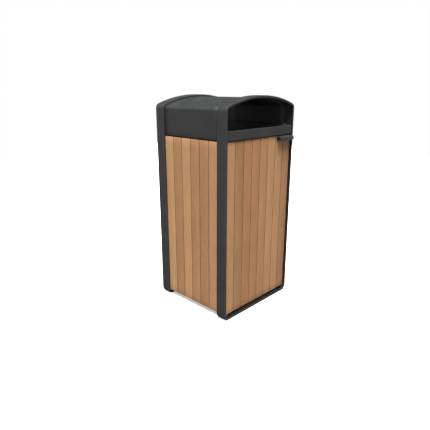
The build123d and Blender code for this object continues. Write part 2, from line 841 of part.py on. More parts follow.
def wheel_inner_x():
    """Inner face of each wheel: outside the tub's wall at the height of the wheel's top."""
    grow = (bin_rim_width - 2 * bin_rim_overhang - bin_base_width) / bin_height
    return (bin_base_width + grow * 2 * wheel_radius) / 2 + wheel_gap


def make_axle():
    """Steel axle, with a press-on cap outside each wheel."""
    end_x = wheel_inner_x() + wheel_width + rest_gap
    with BuildPart() as axle:
        with BuildSketch(Plane.YZ.offset(-end_x)):
            with Locations((axle_y(), wheel_z)):
                Circle(axle_radius)
        extrude(amount=2 * end_x)
        for x, way in ((-end_x, -axle_end), (end_x, axle_end)):
            with BuildSketch(Plane.YZ.offset(x)):
                with Locations((axle_y(), wheel_z)):
                    Circle(axle_cap_radius)
            extrude(amount=way)
    return axle.part


def make_wheel(side):
    """Moulded wheel with a dished web and a rounded tread."""
    inner = side * wheel_inner_x()
    middle = Plane.YZ.offset(inner + side * wheel_width / 2)
    with BuildPart() as wheel:
        with BuildSketch(Plane.YZ.offset(inner)):
            with Locations((axle_y(), wheel_z)):
                Circle(wheel_radius)
        extrude(amount=side * wheel_width)
        fillet(wheel.edges().filter_by(GeomType.CIRCLE), wheel_corner)
        for way in (-1, 1):
            with BuildSketch(middle.offset(way * wheel_web / 2)):
                with Locations((axle_y(), wheel_z)):
                    Circle(wheel_rim_radius)
                    Circle(wheel_hub_radius, mode=Mode.SUBTRACT)
            extrude(amount=way * wheel_width, mode=Mode.SUBTRACT)
        with BuildSketch(Plane.YZ.offset(inner)):
            with Locations((axle_y(), wheel_z)):
                Circle(axle_radius + fit_gap)
        extrude(amount=side * wheel_width, mode=Mode.SUBTRACT)
    return wheel.part


# ---------------------------------------------------------------- build and write
os.makedirs("parts", exist_ok=True)

front_hoop = make_hoop()
save(front_hoop, "front_hoop")
save(front_hoop.mirror(Plane.XZ), "rear_hoop")
save(make_hood(), "hood_shell")
plain_sill = make_sill()
save(make_front_sill(plain_sill), "front_sill")
save(plain_sill.mirror(Plane.XZ), "rear_sill")
save(make_chute(), "chute_plate")
save(make_floor(), "floor_plate")

side_top = sill_bottom - side_top_gap
side_places = slat_centres(side_row, side_slat_count)
side_span = slat_width(side_row, side_slat_count)
front_places = slat_centres(front_row, front_slat_count)
front_span = slat_width(front_row, front_slat_count)
level_names = ("bottom", "middle", "top")

for side_name, side_plane in (("left", left_plane), ("right", right_plane)):
    for number, place in enumerate(side_places, 1):
        board = make_slat(side_plane, place, side_span, rail_levels, side_top)
        save(board, f"{side_name}_slat_{number}")
    for level_name, rail_level in zip(level_names[:2], rail_levels):
        side_rail = make_rail(side_plane, inner_lip_y, rail_level, side_places)
        save(side_rail, f"{side_name}_{level_name}_rail")
    save(make_top_rail(side_plane, top_rail, side_places), f"{side_name}_top_rail")

for number, place in enumerate(front_places, 1):
    board = make_slat(rear_plane, place, front_span, rail_levels, door_top)
    save(board, f"rear_slat_{number}")
for level_name, rail_level in zip(level_names, rail_levels):
    save(make_rear_rail(rail_level, front_places), f"rear_{level_name}_rail")

for number, place in enumerate(front_places, 1):
    board = make_slat(front_plane, place, front_span, frame_levels, door_top)
    if number == 1:
        board = make_hinge_slat(board)
    if place > door_half_width - pull_length - front_span / 2:
        board = make_board_with_pull_holes(board)
    save(board, f"door_slat_{number}")

save(make_door_frame(), "door_frame")
save(make_pull(), "door_pull")
save(make_hinge_pins(), "hinge_pins")
save(make_bushes(), "hinge_bushes")
save(make_pivot_bracket(), "pivot_bracket")
save(make_latch_housing(), "latch_housing")
save(make_latch_bolt(), "latch_bolt")
save(make_buffers(), "door_buffers")

cladding_rows = [
    (left_plane.offset(-slat_thickness - rail_sheet), 1, grid(side_places, rail_levels)),
    (right_plane.offset(-slat_thickness - rail_sheet), 1, grid(side_places, rail_levels)),
    (rear_plane.offset(-slat_thickness - rail_sheet), 1, grid(front_places, rail_levels)),
]
door_rows = [
    (front_plane.offset(-slat_thickness - frame_sheet), 1, grid(front_places, frame_levels)),
    (front_plane.offset(pull_sheet), -1, pull_screw_places()),
]
save(make_screws(cladding_rows), "cladding_screws")
save(make_screws(door_rows), "door_screws")
save(make_rail_bolts(), "rail_bolts")
save(make_panel_screws(), "panel_screws")

save(make_bin_body(), "bin_body")
save(make_axle(), "bin_axle")
save(make_wheel(-1), "bin_wheel_left")
save(make_wheel(1), "bin_wheel_right")
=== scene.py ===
import bpy
import json
import math
import numpy as np
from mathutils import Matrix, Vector


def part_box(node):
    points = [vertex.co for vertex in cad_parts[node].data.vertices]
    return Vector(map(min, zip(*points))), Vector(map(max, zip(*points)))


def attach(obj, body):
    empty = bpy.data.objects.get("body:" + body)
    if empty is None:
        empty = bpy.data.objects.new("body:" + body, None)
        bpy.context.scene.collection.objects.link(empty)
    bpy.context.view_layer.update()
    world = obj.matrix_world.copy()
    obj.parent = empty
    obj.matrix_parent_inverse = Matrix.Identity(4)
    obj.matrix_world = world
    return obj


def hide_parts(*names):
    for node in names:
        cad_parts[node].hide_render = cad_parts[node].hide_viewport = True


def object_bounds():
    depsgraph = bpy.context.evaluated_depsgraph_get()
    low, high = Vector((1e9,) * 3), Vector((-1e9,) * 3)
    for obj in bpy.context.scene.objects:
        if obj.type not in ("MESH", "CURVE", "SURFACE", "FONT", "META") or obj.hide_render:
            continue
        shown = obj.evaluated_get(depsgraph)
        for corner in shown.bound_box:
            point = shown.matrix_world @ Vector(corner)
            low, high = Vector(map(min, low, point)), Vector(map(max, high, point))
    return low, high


# Litter bin enclosure: timber boards and charcoal steel around a wheeled tub.
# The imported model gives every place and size; this script adds finished surfaces and materials.
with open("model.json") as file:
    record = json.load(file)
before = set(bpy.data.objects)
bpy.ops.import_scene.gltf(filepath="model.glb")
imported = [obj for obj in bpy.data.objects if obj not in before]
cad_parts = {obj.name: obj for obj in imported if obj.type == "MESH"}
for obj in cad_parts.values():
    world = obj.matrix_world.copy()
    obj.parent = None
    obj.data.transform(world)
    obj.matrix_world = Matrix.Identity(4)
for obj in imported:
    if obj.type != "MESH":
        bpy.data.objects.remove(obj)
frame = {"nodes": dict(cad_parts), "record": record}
cadBox = [list(corner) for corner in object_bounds()]
print("loaded the frame:", len(frame["nodes"]), "nodes")


def roundedLoop(halfA, halfB, radius, steps):
    # closed outline of a rectangle with rounded corners:
    # each corner is a quarter circle about a centre set in by the radius from both sides
    angles = np.linspace(0, math.pi / 2, steps + 1)
    corners = []
    for turn, (signA, signB) in enumerate(((1, 1), (-1, 1), (-1, -1), (1, -1))):
        a = signA * (halfA - radius) + radius * np.cos(angles + turn * math.pi / 2)
        b = signB * (halfB - radius) + radius * np.sin(angles + turn * math.pi / 2)
        corners.append(np.stack([a, b], 1))
    return np.concatenate(corners)


def gridObject(name, points, closedAcross=True, closedAlong=False, capEnds=False):
    # points is an array (along, across, 3); each cell becomes one four-sided face
    along, across = points.shape[:2]
    rows = np.arange(along if closedAlong else along - 1)
    columns = np.arange(across if closedAcross else across - 1)
    r, c = np.meshgrid(rows, columns, indexing="ij")
    rNext, cNext = (r + 1) % along, (c + 1) % across
    quads = np.stack([r * across + c, r * across + cNext, rNext * across + cNext, rNext * across + c], -1)
    faces = quads.reshape(-1, 4).tolist()
    if capEnds:
        faces.append(list(range(across))[::-1])
        faces.append([(along - 1) * across + k for k in range(across)])
    mesh = bpy.data.meshes.new(name)
    mesh.from_pydata(points.reshape(-1, 3).tolist(), [], faces)
    mesh.update()
    piece = bpy.data.objects.new(name, mesh)
    bpy.context.scene.collection.objects.link(piece)
    return piece


def smooth(piece, sharpAngle):
    mesh = piece.data
    mesh.polygons.foreach_set("use_smooth", np.ones(len(mesh.polygons), bool))
    mesh.set_sharp_from_angle(angle=math.radians(sharpAngle))


def pointValue(piece, name, value):
    # value is one number for the whole piece, or an array with one number for each point
    layer = piece.data.attributes.new(name, "FLOAT", "POINT")
    values = np.broadcast_to(np.asarray(value, np.float32).reshape(-1), len(piece.data.vertices))
    layer.data.foreach_set("value", np.ascontiguousarray(values))


def finishPiece(piece, body, material):
    piece.data.materials.append(material)
    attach(piece, body)


def drillHoles(piece, places, radius, low, high):
    # cuts upright round holes through a piece with a boolean that is applied at once
    turn = np.linspace(0, 2 * math.pi, 33)[:-1]
    for x, y in places:
        ring = np.stack([x + radius * np.cos(turn), y + radius * np.sin(turn)], 1)
        rings = [np.column_stack([ring, np.full(len(ring), z)]) for z in (low, high)]
        cutter = gridObject("holeCutter", np.array(rings), capEnds=True)
        hole = piece.modifiers.new("hole", "BOOLEAN")
        hole.operation = "DIFFERENCE"
        hole.object = cutter
        hole.solver = "EXACT"
        graph = bpy.context.evaluated_depsgraph_get()
        cut = bpy.data.meshes.new_from_object(piece.evaluated_get(graph))
        piece.modifiers.remove(hole)
        piece.data = cut
        bpy.data.objects.remove(cutter)


def newGroup(name, inputs, outputs):
    group = bpy.data.node_groups.new(name, "ShaderNodeTree")
    for label, kind, value in inputs:
        socket = group.interface.new_socket(name=label, in_out="INPUT", socket_type="NodeSocket" + kind)
        if value is not None:
            socket.default_value = value
    for label, kind in outputs:
        group.interface.new_socket(name=label, in_out="OUTPUT", socket_type="NodeSocket" + kind)
    return group, group.nodes.new("NodeGroupInput"), group.nodes.new("NodeGroupOutput")


def setInput(tree, socket, value):
    # a socket is linked, anything else becomes the input's own value
    if isinstance(value, bpy.types.NodeSocket):
        tree.links.new(value, socket)
    else:
        socket.default_value = value


def addNode(tree, kind, values=None, **settings):
    node = tree.nodes.new("ShaderNode" + kind)
    for key, value in settings.items():
        setattr(node, key, value)
    for key, value in (values or {}).items():
        setInput(tree, node.inputs[key], value)
    return node


def placeGroup(tree, group, values):
    node = tree.nodes.new("ShaderNodeGroup")
    node.node_tree = group
    for key, value in values.items():
        setInput(tree, node.inputs[key], value)
    return node


def maths(tree, operation, first, second=0.5, clamp=False):
    node = addNode(tree, "Math", {0: first, 1: second}, operation=operation, use_clamp=clamp)
    return node.outputs[0]


def mixColour(tree, factor, first, second, blend="MIX"):
    # sockets 0, 6 and 7 are the colour mix's factor and its two colours
    node = addNode(tree, "Mix", data_type="RGBA", blend_type=blend)
    for place, value in ((0, factor), (6, first), (7, second)):
        setInput(tree, node.inputs[place], value)
    return node.outputs[2]


def remap(tree, value, low, high, toLow=0.0, toHigh=1.0):
    node = addNode(tree, "MapRange", {0: value, 1: low, 2: high, 3: toLow, 4: toHigh})
    return node.outputs[0]


def noiseAt(tree, place, scale, detail):
    node = addNode(tree, "TexNoise", {"Vector": place, "Scale": scale, "Detail": detail})
    return node.outputs["Fac"]


def newMaterial(name, **constants):
    material = bpy.data.materials.new(name)
    material.use_nodes = True
    tree = material.node_tree
    shader = tree.nodes["Principled BSDF"]
    for label, value in constants.items():
        shader.inputs[label].default_value = value
    return material, tree, shader


wearLook = {
    "samples": 4,
    "edgeRange": (0.995, 0.80),     # agreement of the two normals, from unworn to worn
    "noise": (60.0, 4.0),           # scale and detail
    "breakRange": (0.42, 0.62),
}


def buildEdgeWear():
    # mask that rises where a rounded copy of the normal leaves the true one, broken up by noise
    group, given, out = newGroup(
        "edgeWear",
        [("Place", "Vector", None), ("Width", "Float", 0.0015), ("Amount", "Float", 0.5)],
        [("Mask", "Float")],
    )
    bevel = addNode(group, "Bevel", {"Radius": given.outputs["Width"]}, samples=wearLook["samples"])
    geometry = addNode(group, "NewGeometry")
    same = addNode(
        group, "VectorMath", {0: bevel.outputs[0], 1: geometry.outputs["Normal"]}, operation="DOT_PRODUCT"
    )
    edge = remap(group, same.outputs["Value"], *wearLook["edgeRange"])
    noise = noiseAt(group, given.outputs["Place"], *wearLook["noise"])
    broken = remap(group, noise, *wearLook["breakRange"])
    mask = maths(group, "MULTIPLY", maths(group, "MULTIPLY", edge, broken), given.outputs["Amount"], True)
    group.links.new(mask, out.inputs["Mask"])
    return group


dustAndTopShadeLook = {
    "upwardRange": (0.35, 0.98),    # how far the surface faces up
    "patchNoise": (7.0, 5.0),       # scale and detail
    "speckNoise": (350.0, 2.0),
    "noiseRange": (0.3, 0.7),
    "patchLevels": (0.45, 1.0),
    "speckLevels": (0.6, 1.0),
}


def buildDustAndTopShade():
    # mask for faces that look up, thicker in patches: real dust on the plain finishes, painted shade on the
    # coating's tops
    group, given, out = newGroup(
        "dustAndTopShade",
        [("Place", "Vector", None), ("Amount", "Float", 0.3)],
        [("Mask", "Float")],
    )
    geometry = addNode(group, "NewGeometry")
    parts = addNode(group, "SeparateXYZ", {0: geometry.outputs["Normal"]})
    upward = remap(group, parts.outputs["Z"], *dustAndTopShadeLook["upwardRange"])
    coarse = noiseAt(group, given.outputs["Place"], *dustAndTopShadeLook["patchNoise"])
    fine = noiseAt(group, given.outputs["Place"], *dustAndTopShadeLook["speckNoise"])
    patch = remap(group, coarse, *dustAndTopShadeLook["noiseRange"], *dustAndTopShadeLook["patchLevels"])
    speck = remap(group, fine, *dustAndTopShadeLook["noiseRange"], *dustAndTopShadeLook["speckLevels"])
    mask = maths(group, "MULTIPLY", maths(group, "MULTIPLY", upward, patch), speck)
    mask = maths(group, "MULTIPLY", mask, given.outputs["Amount"], True)
    group.links.new(mask, out.inputs["Mask"])
    return group


grainLook = {
    "grainDetail": 3.0,
    "driftNoise": (9.0, 3.0),       # scale and detail
    "heightRange": (0.25, 0.75),
}


def buildFineGrain():
    # orange-peel texture of a coating or a moulding: a fine bump and a slow drift in shade
    group, given, out = newGroup(
        "fineGrain",
        [("Place", "Vector", None), ("Grains per metre", "Float", 700.0)],
        [("Height", "Float"), ("Drift", "Float")],
    )
    place = given.outputs["Place"]
    grain = noiseAt(group, place, given.outputs["Grains per metre"], grainLook["grainDetail"])
    drift = noiseAt(group, place, *grainLook["driftNoise"])
    group.links.new(remap(group, grain, *grainLook["heightRange"]), out.inputs["Height"])
    group.links.new(drift, out.inputs["Drift"])
    return group


timberNoise = {
    "spread": (3.1, 5.7, 9.3),      # how far apart two boards lie in the noise
    # each of these is stretch along the height, scale, detail and roughness
    "wander": (0.10, 14.0, 2.0, 0.5),
    "fibres": (0.015, 620.0, 4.0, 0.65),
    "pores": (0.045, 900.0, 1.0, 0.5),
    "cloud": (0.30, 11.0, 4.0, 0.5),
    "rings": 95.0,                  # growth bands per unit of the wandering noise
    "poreRange": (0.64, 0.72),
}


def buildTimberGrain():
    # solid upright grain: noise drawn out along the height gives growth bands, fibres and short pores
    group, given, out = newGroup(
        "timberGrain",
        [("Place", "Vector", None), ("Shift", "Float", 0.0)],
        [("Bands", "Float"), ("Fibres", "Float"), ("Pores", "Float"), ("Cloud", "Float")],
    )
    spread = addNode(group, "CombineXYZ", dict(enumerate(timberNoise["spread"])))
    moved = addNode(
        group, "VectorMath", {0: spread.outputs[0], "Scale": given.outputs["Shift"]}, operation="SCALE"
    )
    place = addNode(group, "VectorMath", {0: given.outputs["Place"], 1: moved.outputs[0]}, operation="ADD")

    def drawnOut(rise, scale, detail, rough):
        stretched = addNode(
            group, "VectorMath", {0: place.outputs[0], 1: (1.0, 1.0, rise)}, operation="MULTIPLY"
        )
        node = addNode(
            group,
            "TexNoise",
            {"Vector": stretched.outputs[0], "Scale": scale, "Detail": detail, "Roughness": rough},
        )
        return node.outputs["Fac"]

    wander = drawnOut(*timberNoise["wander"])
    waves = maths(group, "SINE", maths(group, "MULTIPLY", wander, timberNoise["rings"]))
    bands = remap(group, waves, -1.0, 1.0)
    pores = remap(group, drawnOut(*timberNoise["pores"]), *timberNoise["poreRange"])
    group.links.new(bands, out.inputs["Bands"])
    group.links.new(drawnOut(*timberNoise["fibres"]), out.inputs["Fibres"])
    group.links.new(pores, out.inputs["Pores"])
    group.links.new(drawnOut(*timberNoise["cloud"]), out.inputs["Cloud"])
    return group


edgeWear = buildEdgeWear()
dustAndTopShade = buildDustAndTopShade()
fineGrain = buildFineGrain()
timberGrain = buildTimberGrain()
print("built the shared effects")


coating = {
    "shade": (0.0275, 0.0277, 0.0277, 1),
    "drifted": (0.0315, 0.0318, 0.0318, 1),
    "driftRange": (0.35, 0.65),
    # lighter edge colour: partly real wear, partly a painted highlight along the edges
    "worn": (0.055, 0.056, 0.056, 1),
    "wear": (0.0016, 0.08),         # width in metres and amount
    "upward": (0.0025, 0.0052, 0.0044, 1),      # painted shade: a darker tone on faces that look up, so the tops read less lit
    "upwardAmount": 1.0,
    "roughness": (0.56, 0.65),
    "roughnessRange": (0.3, 0.7),
    "upwardRoughness": 0.1,
    "grains": 780.0,
    "relief": 0.00006,
}


def makeCoating():
    material, tree, shader = newMaterial("charcoalPowderCoat", IOR=1.30)
    place = addNode(tree, "TexCoord").outputs["Object"]
    width, amount = coating["wear"]
    grain = placeGroup(tree, fineGrain, {"Place": place, "Grains per metre": coating["grains"]})
    wear = placeGroup(tree, edgeWear, {"Place": place, "Width": width, "Amount": amount})
    topShadeMask = placeGroup(tree, dustAndTopShade, {"Place": place, "Amount": coating["upwardAmount"]})
    drift = remap(tree, grain.outputs["Drift"], *coating["driftRange"])
    colour = mixColour(tree, drift, coating["shade"], coating["drifted"])
    # edges lighten: partly real wear, partly a painted highlight
    colour = mixColour(tree, wear.outputs["Mask"], colour, coating["worn"])
    # painted shade: faces that look up are darkened towards the top-shade tone
    colour = mixColour(tree, topShadeMask.outputs["Mask"], colour, coating["upward"])
    tree.links.new(colour, shader.inputs["Base Color"])
    rough = remap(tree, grain.outputs["Drift"], *coating["roughnessRange"], *coating["roughness"])
    extra = maths(tree, "MULTIPLY", topShadeMask.outputs["Mask"], coating["upwardRoughness"])
    tree.links.new(maths(tree, "ADD", rough, extra, True), shader.inputs["Roughness"])
    bump = addNode(
        tree, "Bump", {"Height": grain.outputs["Height"], "Distance": coating["relief"], "Strength": 1.0}
    )
    tree.links.new(bump.outputs[0], shader.inputs["Normal"])
    return material


timber = {
    "dark": (0.252, 0.123, 0.051, 1),
    "light": (0.436, 0.244, 0.113, 1),
    "pore": (0.110, 0.046, 0.020, 1),
    "blush": (1.0, 0.93, 0.96, 1),
    "gapShade": (0.40, 0.37, 0.35, 1),    # painted shade on the narrow edges and sawn ends, for the shade in the gaps between boards
    # how much each of these adds to the shade, and the range of their sum
    "bands": 0.12,
    "fibres": 0.36,
    "cloud": 0.50,
    "tone": 0.62,
    "levelRange": (0.42, 1.22),
    "poreAmount": 0.55,
    "wear": (0.0012, 0.08),             # width in metres and amount
    "fibreRange": (0.3, 0.7),
    "roughness": (0.47, 0.61),
    "relief": 0.00012,
    "reliefStrength": 0.8,
}


def makeTimber():
    material, tree, shader = newMaterial("oiledHardwood", IOR=1.40)
    place = addNode(tree, "TexCoord").outputs["Object"]

    def boardValue(name):
        return addNode(tree, "Attribute", attribute_name=name).outputs["Fac"]

    grain = placeGroup(tree, timberGrain, {"Place": place, "Shift": boardValue("boardShift")})
    width, amount = timber["wear"]
    wear = placeGroup(tree, edgeWear, {"Place": place, "Width": width, "Amount": amount})
    level = maths(tree, "MULTIPLY", grain.outputs["Bands"], timber["bands"])
    shares = (
        (grain.outputs["Fibres"], "fibres"),
        (grain.outputs["Cloud"], "cloud"),
        (boardValue("boardTone"), "tone"),
    )
    for value, share in shares:
        level = maths(tree, "ADD", level, maths(tree, "MULTIPLY", value, timber[share]))
    level = remap(tree, level, *timber["levelRange"])
    colour = mixColour(tree, level, timber["dark"], timber["light"])
    colour = mixColour(tree, boardValue("boardBlush"), colour, timber["blush"], "MULTIPLY")
    pores = maths(tree, "MULTIPLY", grain.outputs["Pores"], timber["poreAmount"])
    colour = mixColour(tree, pores, colour, timber["pore"])
    colour = mixColour(tree, wear.outputs["Mask"], colour, timber["light"])
    # painted shade: narrow edges and sawn ends darkened, as in the shaded gaps between boards
    colour = mixColour(tree, boardValue("boardGapShade"), colour, timber["gapShade"], "MULTIPLY")
    tree.links.new(colour, shader.inputs["Base Color"])
    rough = remap(tree, grain.outputs["Fibres"], *timber["fibreRange"], *timber["roughness"])
    tree.links.new(rough, shader.inputs["Roughness"])
    height = maths(tree, "SUBTRACT", grain.outputs["Fibres"], grain.outputs["Pores"])
    bump = addNode(
        tree, "Bump", {"Height": height, "Distance": timber["relief"], "Strength": timber["reliefStrength"]}
    )
    tree.links.new(bump.outputs[0], shader.inputs["Normal"])
    return material


plainLook = {
    "wear": (0.0012, 0.2),          # width in metres and amount
    "dustAmount": 0.15,
    "dust": (0.20, 0.19, 0.17, 1),
    "driftRange": (0.3, 0.7),
    "wornGain": 1.8,                # a worn edge is the shade times this, plus the lift
    "wornLift": 0.02,
    "roughnessSpread": (-0.05, 0.07),
    "reliefStrength": 0.8,
}


def makePlainFinish(name, shade, other, roughness, grains, relief, metallic=0.0):
    # moulded, rubber and plated parts: two close shades, a fine bump, edge wear and dust
    material, tree, shader = newMaterial(name, Metallic=metallic)
    place = addNode(tree, "TexCoord").outputs["Object"]
    width, amount = plainLook["wear"]
    grain = placeGroup(tree, fineGrain, {"Place": place, "Grains per metre": grains})
    wear = placeGroup(tree, edgeWear, {"Place": place, "Width": width, "Amount": amount})
    dust = placeGroup(tree, dustAndTopShade, {"Place": place, "Amount": plainLook["dustAmount"]})
    drift = remap(tree, grain.outputs["Drift"], *plainLook["driftRange"])
    gain, lift = plainLook["wornGain"], plainLook["wornLift"]
    worn = tuple(min(1.0, gain * part + lift) for part in shade[:3]) + (1,)
    colour = mixColour(tree, drift, shade, other)
    colour = mixColour(tree, wear.outputs["Mask"], colour, worn)
    colour = mixColour(tree, dust.outputs["Mask"], colour, plainLook["dust"])
    tree.links.new(colour, shader.inputs["Base Color"])
    low, high = (roughness + part for part in plainLook["roughnessSpread"])
    tree.links.new(remap(tree, grain.outputs["Height"], 0.0, 1.0, low, high), shader.inputs["Roughness"])
    values = {"Height": grain.outputs["Height"], "Distance": relief, "Strength": plainLook["reliefStrength"]}
    bump = addNode(tree, "Bump", values)
    tree.links.new(bump.outputs[0], shader.inputs["Normal"])
    return material


# each plain finish: name, shade, other shade, roughness, grains per metre, relief in metres, metallic
plainFinishes = {
    "zinc_plated": ("brightZinc", (0.50, 0.51, 0.52, 1), (0.60, 0.60, 0.58, 1), 0.34, 900.0, 0.00003, 1.0),
    "bush_nylon": ("naturalNylon", (0.66, 0.64, 0.56, 1), (0.72, 0.70, 0.63, 1), 0.42, 700.0, 0.00003),
    "buffer_rubber": (
        "bufferRubber", (0.014, 0.014, 0.014, 1), (0.022, 0.022, 0.021, 1), 0.72, 800.0, 0.00008
    ),
    "bin_plastic": ("tubPlastic", (0.010, 0.030, 0.018, 1), (0.014, 0.040, 0.024, 1), 0.42, 520.0, 0.00010),
    "wheel_rubber": ("wheelRubber", (0.012, 0.012, 0.012, 1), (0.020, 0.020, 0.019, 1), 0.66, 600.0, 0.00010),
}
coatingFinish = makeCoating()
timberFinish = makeTimber()
finishOfSlot = {"powder_coat": coatingFinish, "timber": timberFinish}
for slotName, look in plainFinishes.items():
    finishOfSlot[slotName] = makePlainFinish(*look)
tubFinish, wheelFinish = finishOfSlot["bin_plastic"], finishOfSlot["wheel_rubber"]
slotOfNode = {part["node"]: part["material_slot"] for part in frame["record"]["subparts"]}
bodyOfNode = {node: body for body, nodes in frame["record"]["behaviour"]["bodies"].items() for node in nodes}
for nodeName, node in frame["nodes"].items():
    node.data.materials.clear()
    node.data.materials.append(finishOfSlot[slotOfNode[nodeName]])
print("gave every node its finish")


boards = {
    "edgeRadius": 0.0016,   # along the long edges
    "endRadius": 0.0014,    # at the two sawn ends
    "endPull": 0.5,         # how much of an end's setting in comes off the corner radius
    "cornerSteps": 4,
    "endSteps": 3,
    "cells": 26,            # along the height
    "bow": 0.00022,         # gentle wave of each face
    "bowTurn": 5.0,         # radians of the wave from end to end
    "bowStart": 6.0,        # widest start of the wave, in radians
    "pinBore": 0.0055,      # in the hinge board, for the bushes
    "pinReach": 0.01205,
    "drillPast": 0.001,
    "sharpAngle": 40,
    "seed": 11,
    # how light each board is, from 0 to 1, in the order of the nodes' numbers
    "leftTones": (1.02, 0.40, 1.03, 0.54, 0.42, 0.89),
    "rightTones": (0.62, 0.44, 0.78, 0.58, 0.40, 0.70),
    # partly painted shadow: the last door board's low tone also carries the shadow of the pull above it
    "doorTones": (0.78, 0.24, 0.40, 0.46, 0.55, 0.74, 0.66, 0.22),
    "rearTones": (0.55, 0.72, 0.38, 0.60, 0.80, 0.45, 0.66, 0.50),
    # how far each board leans from golden brown towards pink, from 0 to 1
    "leftBlush": (0.1, 0.3, 0.3, 1.0, 0.7, 0.6),
    "rightBlush": (0.5, 0.1, 0.8, 0.3, 0.9, 0.2),
    "doorBlush": (0.1, 0.0, 1.0, 1.0, 0.8, 0.6, 0.4, 0.2),
    "rearBlush": (0.6, 0.2, 0.9, 0.3, 0.1, 0.8, 0.4, 0.7),
}


def boardSurface(low, high, wave):
    # section: rounded rectangle in plan, carried up the height;
    # near each end the section is set in along a quarter circle, and the faces wave by a sine
    centre, half = (low + high) / 2, (high - low) / 2
    radius, endRadius = boards["edgeRadius"], boards["endRadius"]
    turn = np.linspace(0, math.pi / 2, boards["endSteps"] + 1)
    inset = endRadius * (1 - np.sin(turn))
    rise = endRadius * (1 - np.cos(turn))
    middle = np.linspace(low[2] + endRadius, high[2] - endRadius, boards["cells"])[1:-1]
    heights = np.concatenate([low[2] + rise, middle, (high[2] - rise)[::-1]])
    insets = np.concatenate([inset, np.zeros(len(middle)), inset[::-1]])
    loops = []
    for z, setIn in zip(heights, insets):
        corner = radius - setIn * boards["endPull"]
        plan = roundedLoop(half[0] - setIn, half[1] - setIn, corner, boards["cornerSteps"])
        loops.append(np.column_stack([centre[0] + plan[:, 0], centre[1] + plan[:, 1], np.full(len(plan), z)]))
    points = np.array(loops)
    share = (points[:, :, 2] - low[2]) / (high[2] - low[2])
    thin = 1 if half[0] > half[1] else 0
    outside = np.sign(points[:, :, thin] - centre[thin])
    # the painted gap shade: 0 on the two wide faces, 1 on the narrow edges and the sawn ends
    inFromFace = half[thin] - np.abs(points[:, :, thin] - centre[thin])
    fromEnd = half[2] - np.abs(points[:, :, 2] - centre[2])
    joint = np.maximum(inFromFace / radius, 1 - fromEnd / endRadius)
    points[:, :, thin] -= outside * boards["bow"] * (1 + np.sin(wave + boards["bowTurn"] * share)) / 2
    return points, np.clip(joint, 0, 1)


hingeAxis = next(
    joint["pos_m"][:2] for joint in frame["record"]["behaviour"]["joints"] if joint["name"] == "door_swing"
)
chance = np.random.default_rng(boards["seed"])
boardNames = sorted(name for name in frame["nodes"] if "_slat_" in name)
for name in boardNames:
    low, high = (np.array(corner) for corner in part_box(name))
    points, joint = boardSurface(low, high, chance.uniform(0, boards["bowStart"]))
    board = gridObject("board_" + name, points, capEnds=True)
    pointValue(board, "boardGapShade", joint)
    if name == "door_slat_1":
        reach, past = boards["pinReach"], boards["drillPast"]
        for bottom, top in ((low[2] - past, low[2] + reach), (high[2] - reach, high[2] + past)):
            drillHoles(board, [hingeAxis], boards["pinBore"], bottom, top)
    smooth(board, boards["sharpAngle"])
    side, number = name.split("_slat_")
    pointValue(board, "boardTone", boards[side + "Tones"][int(number) - 1])
    pointValue(board, "boardBlush", boards[side + "Blush"][int(number) - 1])
    pointValue(board, "boardShift", chance.uniform(0, 1))
    finishPiece(board, bodyOfNode[name], timberFinish)
    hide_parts(name)
print("made", len(boardNames), "boards")


hoops = {
    "archRadius": 0.903,
    "shoulder": 0.033,      # outer bend between arch and post
    "foot": 0.038,          # outer bend between post and bottom
    "lip": 0.015,
    "sheet": 0.004,
    "bend": 0.006,          # outer bend of the folded channel
    "lipRound": 0.0012,
    "archSteps": 28,
    "bendSteps": 12,
    "foldSteps": 6,
    "earInner": 0.262,
    "earHeight": 0.040,
    "anchorX": 0.200,
    "anchorRadius": 0.007,
    "drillPast": 0.002,
    "earLap": 0.0012,       # of each ear over the lip's rounded edge
    "earGap": 0.00005,      # keeps an ear's faces inside the lip's
    "earCorner": 0.003,
    "lipSteps": 2,
    "tiny": 1e-7,           # points nearer than this count as one
    "sharpAngle": 32,
}


def archedOutline(half, crown, inset=0.0, feet=True):
    # outline from the crown round by the right: points on the arcs, joined by straight
    # sides, each with its outward normal, so a smaller outline is the point less its normal times the inset
    radius, shoulder, foot = hoops["archRadius"], hoops["shoulder"], hoops["foot"]
    archCentre = crown - radius
    shoulderX = half - shoulder
    shoulderZ = archCentre + math.sqrt((radius - shoulder) ** 2 - shoulderX ** 2)
    lean = math.asin(shoulderX / (radius - shoulder))

    def arc(x, z, size, start, end, steps):
        turn = np.linspace(start, end, steps + 1)
        normal = np.stack([np.sin(turn), np.cos(turn)], 1)
        return np.array([x, z]) + size * normal, normal

    steps = hoops["bendSteps"]
    runs = [
        arc(0, archCentre, radius, 0, lean, hoops["archSteps"]),
        arc(shoulderX, shoulderZ, shoulder, lean, math.pi / 2, steps),
    ]
    if feet:
        runs.append(arc(half - foot, foot, foot, math.pi / 2, math.pi, steps))
    points = np.concatenate([run[0] for run in runs])
    normals = np.concatenate([run[1] for run in runs])
    keep = np.ones(len(points), bool)
    keep[1:] = np.linalg.norm(np.diff(points, axis=0), axis=1) > hoops["tiny"]
    points, normals = points[keep], normals[keep]
    mirror = np.array([-1, 1])
    points = np.concatenate([points, (points * mirror)[::-1][:-1]])
    normals = np.concatenate([normals, (normals * mirror)[::-1][:-1]])
    return points - inset * normals, normals


